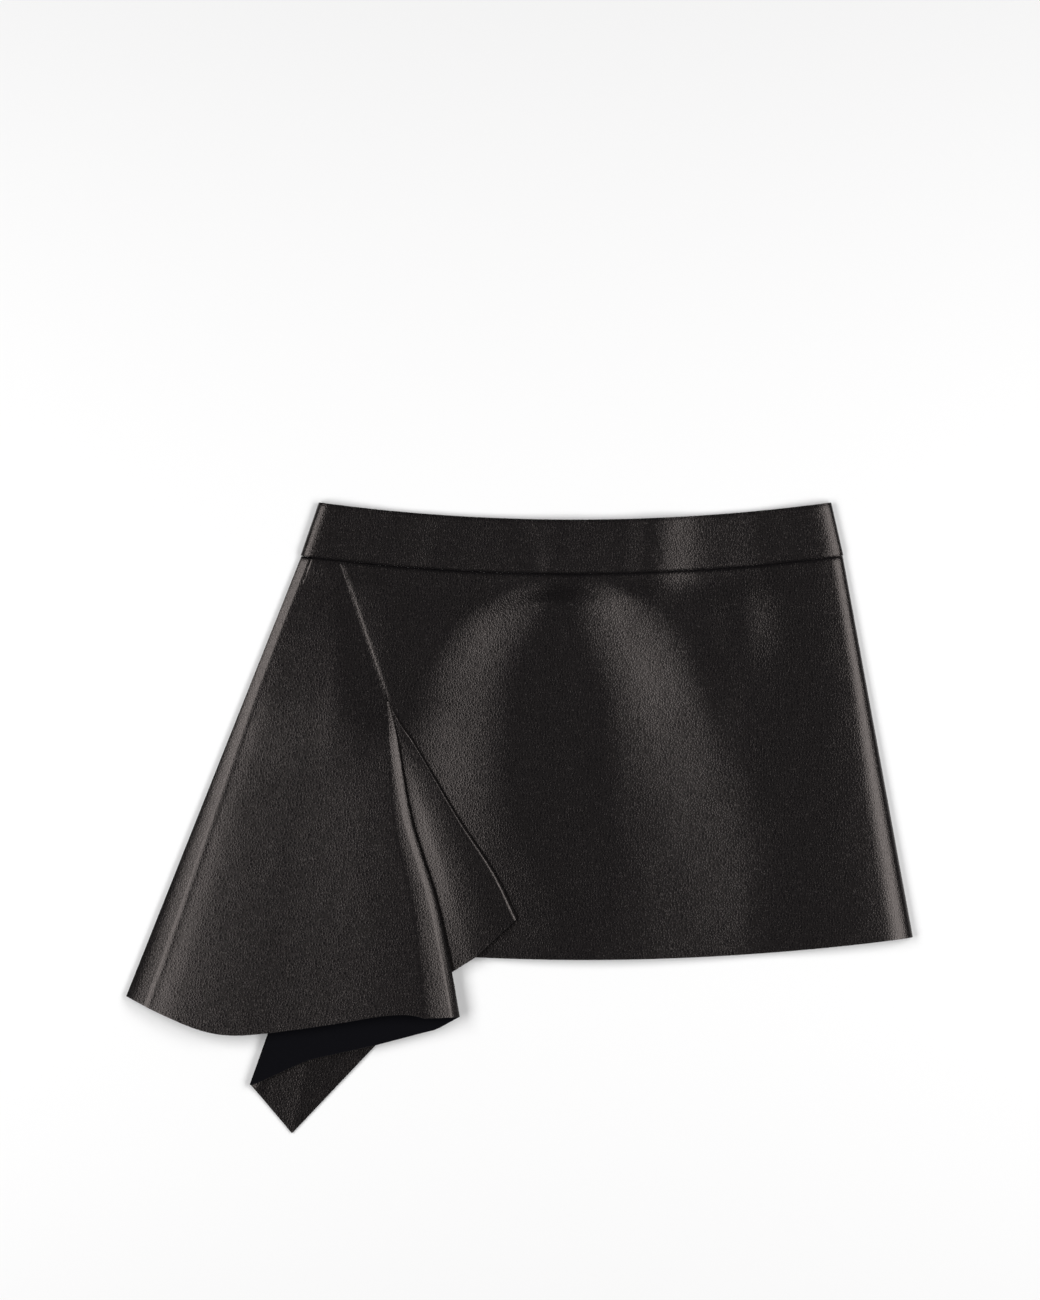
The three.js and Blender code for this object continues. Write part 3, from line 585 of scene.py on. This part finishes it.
def front_height(x, y):
    """Height of the front panel's middle over the table."""
    down = min(1.0, max(0.0, (body_top - y) / body_length))
    roll = roll_at(right_roll, down)
    crest_x = side_right(down).x - roll["crest_inset"]
    seam = value_at(seam_levels, "level", y)
    dome = {name: value_at(front_dome, name, y) for name in front_dome[0] if name != "at"}
    left = smooth((x - dome["left"]) / dome["left_width"], -0.5, 0.5)
    right = smooth((dome["right"] - x) / dome["right_width"], -0.5, 0.5)
    side = lerp(dome["floor"], roll["crest"], smooth(x, roll_rise_start, crest_x))
    raised = lerp(side, seam + dome["rise"] * left, right)
    offset = ((x - swell["x"]) / swell["across"]) ** 2
    offset += ((y - swell["y"]) / swell["along"]) ** 2
    swelling = swell["rise"] * math.exp(-offset)
    away = (y - pivot.y) / pivot_lift["above" if y > pivot.y else "below"]
    aside = (x - pivot.x) / pivot_lift["across"]
    lift = pivot_lift["rise"] * math.exp(-away ** 2 - aside ** 2)
    return from_waist(x, y, raised + swelling + lift)


def uneven_at(x, y):
    """Slight unevenness of soft leather."""
    across = unevenness["across"]
    return unevenness["rise"] * noise.noise(Vector((x / across, y / across, 0.5)))


grain_side = leather_finish(
    "leather", (0.0016, 0.0014, 0.0019), (0.0030, 0.0027, 0.0034), (0.22, 0.30), 0.00006, 520)
wrong_side = matt_finish(
    "leather_wrong_side", (0.0015, 0.0015, 0.0024), (0.0035, 0.0035, 0.0052), 0.85, 900, 0.00008)


def front_panel_rows():
    aside = Vector((seam_top.y - seam_foot.y, seam_foot.x - seam_top.x)).normalized()
    top = seam_top + aside * seam_gap / 2
    foot = seam_foot + aside * seam_gap / 2
    top.y = arc_at(waist, top.x) - seam_gap / 2 - seam_draw
    rows = []
    for down in edge_shares(front_grid["rows"]):
        left, right = top.lerp(foot, down), side_right(down)
        bow = (right.x - left.x) ** 2 / lerp(2 * waist["radius"], 2 * hem["radius"], down)
        roll = roll_at(right_roll, down)

        def line_at(x):
            share = (x - left.x) / (right.x - left.x)
            return lerp(left.y, right.y, share) - bow * share * (1 - share)

        crest_x = right.x - roll["crest_inset"]
        row = []
        for step in range(front_grid["middle"]):
            share = (step / front_grid["middle"]) ** 1.12
            x = lerp(left.x, crest_x, share)
            y = line_at(x)
            fade = smooth(x, left.x, left.x + 20) * (1 - smooth(x, crest_x - 20, crest_x))
            row.append(Vector((x, y, front_height(x, y) + uneven_at(x, y) * fade)))
        crest = {**roll, "crest": front_height(crest_x, line_at(crest_x))}
        add_roll(row, crest, leather / 2, (front_grid["upper"], front_grid["lower"]),
                 lambda inset, _: (right.x - inset, line_at(right.x - inset)))
        for point in row:
            held = smooth(point.z, leather, band_level)
            point.z -= held * edge_dip(seam_dip, arc_at(waist, point.x) - point.y)
            if down * (foot - top).length < pivot_drop:
                point.z -= held * edge_dip(slant_dip, (point.xy - left).length)
        rows.append(row)
    return rows


front_panel = wall_piece(
    "front_panel_leather", front_panel_rows(), leather, (grain_side, wrong_side, cut_edge))
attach(front_panel, "root")
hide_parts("front_panel")

# Back panel halves
# Two plain A-line halves lying flat on the table, joined by the centre-back seam and sewn to
# the front panel and the drape at their sides.
back_left_inset = 12


def back_half(is_left):
    centre = waist["middle"] + (-seam_gap if is_left else seam_gap) / 2
    rows = []
    for down in edge_shares(back_grid["columns"]):
        if is_left:
            start, end = lerp(waist["left"] + back_left_inset, side_hem["left"], down), centre
        else:
            floor_inset = roll_at(right_roll, down)["floor_inset"]
            start, end = centre, side_right(down).x - floor_inset - seam_gap
        row = []
        for step in range(back_grid["columns"] + 1):
            x = lerp(start, end, step / back_grid["columns"])
            y = lerp(arc_at(waist, x) - seam_gap / 2, arc_at(hem, x), down)
            row.append(Vector((x, y, leather / 2)))
        rows.append(row)
    return rows


for side, is_left, flat, area in (
    ("left", True, (0.255, 0.307), 0.0667),
    ("right", False, (0.251, 0.308), 0.0672),
):
    half = wall_piece(f"back_panel_{side}_leather", back_half(is_left), leather,
                      (wrong_side, grain_side, cut_edge))
    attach(half, "root")
    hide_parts(f"back_panel_{side}")

# Drape panel
# One large piece with a square inner corner, sewn to the back's left side and to the front's
# slanted edge, and folded below the end of its seam into a cascade with a pointed free corner.
drape_hem_left = Vector((-300.3, -136.2))
left_roll = (
    {"at": 0, "inset": 6, "height": 5.2, "floor_inset": 5},
    {"at": 0.15, "inset": 6, "height": 5.0, "floor_inset": 5},
    {"at": 0.3, "inset": 6.4, "height": 5.7, "floor_inset": 5.5},
    {"at": 0.42, "inset": 7.6, "height": 6.8, "floor_inset": 6},
    {"at": 0.6, "inset": 10, "height": 8.8, "floor_inset": 7},
    {"at": 0.83, "inset": 12.8, "height": 11.0, "floor_inset": 7},
    {"at": 1, "inset": 14.5, "height": 12.2, "floor_inset": 5.5},
)
left_brow = {"width": 4, "rise": 0.7}
top_rise = (
    {"at": 0, "share": 0},
    {"at": 0.08, "share": 0.25},
    {"at": 0.2, "share": 0.43},
    {"at": 0.33, "share": 0.52},
    {"at": 0.47, "share": 0.57},
    {"at": 0.63, "share": 0.69},
    {"at": 0.79, "share": 0.85},
    {"at": 1, "share": 1},
)
top_swell = {"rise": 3.4, "above": 1.5, "below": 0.28, "turn_from": 0.55}
drape_hem_drop = (
    {"at": 0, "drop": 0},
    {"at": 0.13, "drop": 12.5},
    {"at": 0.26, "drop": 22.0},
    {"at": 0.37, "drop": 23.4},
    {"at": 0.55, "drop": 16.5},
    {"at": 0.74, "drop": 7.0},
    {"at": 0.86, "drop": 0.5},
    {"at": 0.95, "drop": -1.8},
    {"at": 1, "drop": 0},
)
first_fold_hem = Vector((-45.5, -151.5))
second_fold_hem = Vector((-206.2, -203.5))
last_fold_hem = Vector((-1.9, -76.5))
flap_tip = Vector((-174.0, -241.0))
first_fold_wander = (
    {"at": 0, "aside": 0},
    {"at": 0.1, "aside": 0.8},
    {"at": 0.38, "aside": -2.5},
    {"at": 0.63, "aside": 2.4},
    {"at": 0.85, "aside": 1.9},
    {"at": 1, "aside": 0},
)
last_fold_wander = (
    {"at": 0, "aside": 0},
    {"at": 0.1, "aside": -1.2},
    {"at": 0.2, "aside": 0.4},
    {"at": 0.55, "aside": 0.6},
    {"at": 0.8, "aside": 2.9},
    {"at": 1, "aside": 0},
)
layer_rise = leather + 0.7
first_roll = {
    "start": 1.8, "end": 10.2, "growth": 0.8, "upper": 26, "upper_widening": 0.8,
    "upper_slant": -0.2, "lower": 5, "lower_slant": 0.28, "edge": 0.22, "round": 5.5,
    "brow": 0.17,
}
second_roll = {
    "start": layer_rise, "end": 6, "growth": 1, "upper": 4, "upper_widening": 1.4,
    "upper_slant": -0.6, "lower": 14, "lower_slant": 0.57, "edge": 0.65,
}
last_roll = {
    "start": layer_rise, "end": 3.2, "growth": 1, "upper": 2.8, "upper_widening": 1.4,
    "upper_slant": 0.22, "lower": 2.4, "lower_slant": -0.12, "edge": 0.5,
}
lower_widening = 1.4
side_straight = 0.8
side_round = 4
brow_curve = 1.35
facing_level = 11.4
lap_lift = {"rise": 0.8, "reach": 0.12}
flap_rest = {"from": 0.5, "to": 0.72, "turn_from": 0.66, "clearance": 0.2}
facing_edge = (
    {"at": 0, "x": -45.5, "y": -151.5},
    {"at": 0.1, "x": -60.8, "y": -159.9},
    {"at": 0.2, "x": -75.4, "y": -164.2},
    {"at": 0.5, "x": -109.8, "y": -173.3},
    {"at": 0.75, "x": -160.5, "y": -184.4},
    {"at": 1, "x": -206.2, "y": -203.5},
)
flap_edge = (
    {"at": 0, "x": -206.2, "y": -203.5, "height": 1.5},
    {"at": 0.2, "x": flap_tip.x, "y": flap_tip.y, "height": 1.3},
    {"at": 0.5, "x": -109.8, "y": -173.3, "height": 2.6},
    {"at": 0.75, "x": -50.9, "y": -117.0, "height": 6.6},
    {"at": 0.85, "x": -34.0, "y": -106.3, "height": 8.4},
    {"at": 1, "x": last_fold_hem.x, "y": last_fold_hem.y, "height": 10.5},
)
seam_lap_end = 0.93
drape_grid = {
    "upper_rows": 40, "lower_rows": 84, "flat_back": 12, "roll_upper": 18, "roll_lower": 10,
    "top": 72, "fold_steps": 16, "brow_steps": 12, "facing": 26, "flap": 60, "tip_column": 12, "lap": 8,
}
first_row = 0.012
pinch = {"least": 0.18, "reach": 0.16, "columns": 14}
pivot_step = {"rise": 1.1, "reach": 9}
row_crowding = 1.15
end_reach = 0.2


def straight_at(table, name, place):
    """Value of a named column between the rows of a table, along straight lines."""
    after = max(1, next(i for i, row in enumerate(table) if row["at"] >= place - 1e-9))
    low, high = table[after - 1], table[after]
    return lerp(low[name], high[name], (place - low["at"]) / (high["at"] - low["at"]))


def pinch_at(share):
    """Share of its full thickness that the leather keeps where the folds meet at the pivot."""
    return lerp(pinch["least"], 1, smooth(share, 0, pinch["reach"]))


def fold_at(foot, share, wander=None):
    """A fold at one row: its plan point, a share of the way from the pivot to its hem point,
    the way down it, and its outer side."""
    along = foot - pivot
    aside = Vector((-along.y, along.x)).normalized()
    shift = value_at(wander, "aside", share) if wander else 0
    return {"point": pivot + along * share + aside * shift, "down": along.normalized(),
            "aside": aside}


def fold_roll(roll, share):
    """A fold's rolled edge at one row: its height and how far its two halves reach in."""
    start = roll["start"] * pinch_at(share)
    upper = lerp(start / 2, roll["upper"], share ** roll["upper_widening"])
    return {
        "height": lerp(start, roll["end"], share ** roll["growth"]),
        "upper": upper,
        "lower": lerp(start / 2, roll["lower"], share ** lower_widening),
        "edge": lerp(0.5, roll["edge"], share),
        "round": min(upper, roll.get("round", upper)),
        "brow": roll.get("brow", 0),
        "upper_slant": roll["upper_slant"] * share,
        "lower_slant": roll["lower_slant"] * share,
        "wall": leather * pinch_at(share),
    }


def fold_inner(fold, roll, half, inset):
    """Plan point a step in from a fold's edge, on its upper or lower half."""
    inward = fold["aside"] * (roll["wall"] / 2 + inset)
    return fold["point"] - inward + fold["down"] * roll[f"{half}_slant"] * inset


def fold_turn(fold, roll, lower):
    """Points round a fold from its upper layer to its lower one."""
    turn = []
    middle = lower + roll["height"] * roll["edge"]

    def add(half, inset, height):
        turn.append(Vector((*fold_inner(fold, roll, half, inset), height)))

    drop = roll["brow"] * (roll["upper"] - roll["round"])
    for step in range(drape_grid["brow_steps"] if roll["brow"] else 0):
        share = step / drape_grid["brow_steps"]
        height = lower + roll["height"] - drop * share ** brow_curve
        add("upper", lerp(roll["upper"], roll["round"], share), height)
    quarter = drape_grid["fold_steps"] // 2
    rise = roll["height"] * (1 - roll["edge"]) - drop
    for step in range(quarter):
        share = step / quarter
        inset, height = 1 - math.sin(share * math.pi / 2), math.cos(share * math.pi / 2)
        if roll["brow"]:
            inset, height = 1 - share, 1 - lerp(share ** side_round, share, side_straight)
        add("upper", roll["round"] * inset, middle + rise * height)
    for step in range(quarter + 1):
        angle = step / quarter * math.pi / 2
        fall = roll["height"] * roll["edge"] * math.sin(angle)
        add("lower", roll["lower"] * (1 - math.cos(angle)), middle - fall)
    return turn


def layer_point(edge, across, share, start, end):
    """Plan point of a folded layer on the line from the pivot to its free edge."""
    def ray(place):
        on_edge = Vector((straight_at(edge, "x", place), straight_at(edge, "y", place)))
        return pivot.lerp(on_edge, share)

    near_start = max(0.0, 1 - across / end_reach)
    near_end = max(0.0, 1 - (1 - across) / end_reach)
    return ray(across) + (start - ray(0)) * near_start + (end - ray(1)) * near_end


def flap_share(column):
    """Shares across the flap, with one column on its tip."""
    tip_share, tip_column = flap_edge[1]["at"], drape_grid["tip_column"]
    if column <= tip_column:
        return tip_share * column / tip_column
    return lerp(tip_share, 1, (column - tip_column) / (drape_grid["flap"] - tip_column))


def cascade_at(share):
    """The folded layers under the drape's top layer, at one row below the pivot."""
    first = fold_at(first_fold_hem, share, first_fold_wander)
    second = fold_at(second_fold_hem, share)
    last = fold_at(last_fold_hem, share, last_fold_wander)
    second["aside"] = -second["aside"]
    first_shape = fold_roll(first_roll, share)
    second_shape = fold_roll(second_roll, share)
    last_shape = fold_roll(last_roll, share)
    lap_start = fold_inner(last, last_shape, "lower", last_shape["lower"])
    flap_from = fold_inner(second, second_shape, "lower", second_shape["lower"])
    flap_to = fold_inner(last, last_shape, "upper", last_shape["upper"])
    facing_from = fold_inner(first, first_shape, "lower", first_shape["lower"])
    facing_to = fold_inner(second, second_shape, "upper", second_shape["upper"])
    layer = layer_rise * pinch_at(share)
    lift = lap_lift["rise"] * math.exp(-(share / lap_lift["reach"]) ** 2)
    lap_rise = layer + lift * pinch_at(share)
    lap = front_height(lap_start.x, lap_start.y) + lap_rise
    seam = pivot.lerp(seam_foot, share * seam_lap_end)
    stacked = front_height(seam.x, seam.y) + lap_rise + layer
    flap_end = lap + last_shape["height"]

    def flap_point(across):
        plan = layer_point(flap_edge, across, share, flap_from, flap_to)
        own = lerp(stacked, value_at(flap_edge, "height", across), share)
        resting = front_height(plan.x, plan.y) + lap_rise + layer + flap_rest["clearance"]
        raised = own + max(0.0, resting - own) * smooth(across, flap_rest["from"], flap_rest["to"])
        height = lerp(raised, flap_end, smooth(across, flap_rest["turn_from"], 1))
        return Vector((plan.x, plan.y, height))

    facing_start = lerp(stacked + layer, facing_level, share)
    flap_start = flap_point(0).z
    facing_end = flap_start + second_shape["height"]
    points = fold_turn(first, first_shape, facing_start)
    for step in range(1, drape_grid["facing"]):
        across = step / drape_grid["facing"]
        plan = layer_point(facing_edge, across, share, facing_from, facing_to)
        points.append(Vector((plan.x, plan.y, lerp(facing_start, facing_end, across))))
    points += fold_turn(second, second_shape, flap_start)
    points += [flap_point(flap_share(c)) for c in range(1, drape_grid["flap"])]
    points += fold_turn(last, last_shape, lap)
    for step in range(1, drape_grid["lap"] + 1):
        plan = lap_start.lerp(seam, step / drape_grid["lap"])
        points.append(Vector((plan.x, plan.y, front_height(plan.x, plan.y) + lap_rise)))
    return points


def drape_row(down, pivot_share, is_folded):
    """One row of the drape, from the back's left side to its last edge."""
    share = (down - pivot_share) / (1 - pivot_share)
    waist_left = Vector((waist["left"], arc_at(waist, waist["left"]) - seam_gap))
    outer = waist_left.lerp(drape_hem_left, down)
    side_x = lerp(waist["left"] + back_left_inset, side_hem["left"], down) - seam_gap
    side_y = lerp(arc_at(waist, side_x) - seam_gap / 2, arc_at(hem, side_x), down)
    side = Vector((side_x, side_y))
    folded = cascade_at(share) if is_folded else []
    seam_side = Vector((seam_way.y, -seam_way.x)) * seam_gap / 2
    seam = seam_top + seam_way * (pivot_drop * down / pivot_share) + seam_side
    if down == 0:
        seam.y -= seam_gap / 2
    end = folded[0].xy if is_folded else seam
    step_up = pivot_step["rise"] * math.exp(-((seam - pivot).length / pivot_step["reach"]) ** 2)
    end_height = folded[0].z if is_folded else front_height(seam.x, seam.y) + step_up
    crease = {name: value_at(left_roll, name, down) for name in left_roll[0] if name != "at"}
    roll = {
        "crest": crease["height"] + left_brow["rise"] * down,
        "crest_inset": crease["inset"] + left_brow["width"] * lerp(0.5, 1, down),
        "floor_inset": crease["floor_inset"],
        "crease": crease,
    }
    width = (end - outer).length
    if is_folded:
        swelling = top_swell["rise"] * (1 - smooth(share, 0, top_swell["below"]))
    else:
        swelling = top_swell["rise"] * (down / pivot_share) ** top_swell["above"]

    def on_top(inset):
        plan = outer.lerp(end, inset / width)
        plan.y -= down * value_at(drape_hem_drop, "drop", inset / width)
        return plan

    def on_floor(inset):
        return outer.lerp(side, inset / (side - outer).length)

    row = []
    for step in range(drape_grid["flat_back"]):
        plan = side.lerp(on_floor(roll["floor_inset"]), step / drape_grid["flat_back"])
        row.append(Vector((plan.x, plan.y, leather / 2)))
    rolled = []
    add_roll(rolled, roll, leather / 2,
             (drape_grid["roll_upper"], drape_grid["roll_lower"]),
             lambda inset, is_upper: on_top(inset) if is_upper else on_floor(inset))
    row += reversed(rolled)
    for step in range(1, drape_grid["top"] + 1):
        across = step / drape_grid["top"]
        plan = on_top(lerp(roll["crest_inset"], width, across))
        risen = lerp(across, value_at(top_rise, "share", across), down)
        turned = 1 - smooth(across, top_swell["turn_from"], 1)
        height = lerp(roll["crest"], end_height, risen) + swelling * risen * turned
        row.append(Vector((plan.x, plan.y, from_waist(plan.x, plan.y, height))))
    if not is_folded:
        for point in row:
            held = smooth(point.z, leather, band_level)
            point.z -= held * edge_dip(slant_dip, (point.xy - seam).length)
    for point in row:
        held = smooth(point.z, leather, band_level)
        point.z -= held * edge_dip(seam_dip, arc_at(waist, point.x) - point.y)
    return row + folded[1:]


pivot_share = pivot_drop / (pivot_drop + (pivot - first_fold_hem).length)
drape_rows, drape_pinches = [], []
for step in range(drape_grid["upper_rows"] + 1):
    share = (step / drape_grid["upper_rows"]) ** 1.25
    drape_rows.append(drape_row(pivot_share * share, pivot_share, False))
    drape_pinches.append([1.0] * len(drape_rows[-1]))
for step in range(drape_grid["lower_rows"]):
    share = lerp(first_row, 1, (step / (drape_grid["lower_rows"] - 1)) ** row_crowding)
    drape_rows.append(drape_row(lerp(pivot_share, 1, share), pivot_share, True))
    unfolded = len(drape_rows[0]) - 1
    drape_pinches.append([
        lerp(1, pinch_at(share), smooth(c, unfolded - pinch["columns"], unfolded))
        for c in range(len(drape_rows[-1]))])
drape_panel = wall_piece("drape_panel_leather", drape_rows, leather,
                         (grain_side, wrong_side, cut_edge), drape_pinches)
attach(drape_panel, "root")
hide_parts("drape_panel")

# Zip
# A closed concealed zip of plain woven tape inside the centre-back seam, lying on the back
# panel and stepping up over the thicker band.
zip_tape = {"x": 41, "top": 226, "bottom": 20, "half_width": 11, "wall": 0.8}
zip_step = {"from": 2.4, "to": 8}
zip_grid = {"rows": 60, "columns": 12}
tape_weave = matt_finish("zip_tape", (0.004, 0.004, 0.005), (0.012, 0.012, 0.013), 0.8, 2600, 0.0001)
seam_y = arc_at(waist, zip_tape["x"])
panel_level = leather + seam_gap + zip_tape["wall"] / 2
band_step = band_wall + seam_gap + zip_tape["wall"] / 2
zip_rows = []
for step in range(zip_grid["rows"] + 1):
    y = lerp(zip_tape["top"], zip_tape["bottom"], step / zip_grid["rows"])
    drop = smooth(seam_y - y, zip_step["from"], zip_step["to"])
    z = lerp(band_step, panel_level, drop)
    zip_rows.append([
        Vector((zip_tape["x"] + zip_tape["half_width"] * (2 * c / zip_grid["columns"] - 1), y, z))
        for c in range(zip_grid["columns"] + 1)])
zip_piece = wall_piece("zip_tapes", zip_rows, zip_tape["wall"], (tape_weave,) * 3)
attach(zip_piece, "root")
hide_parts("zip")
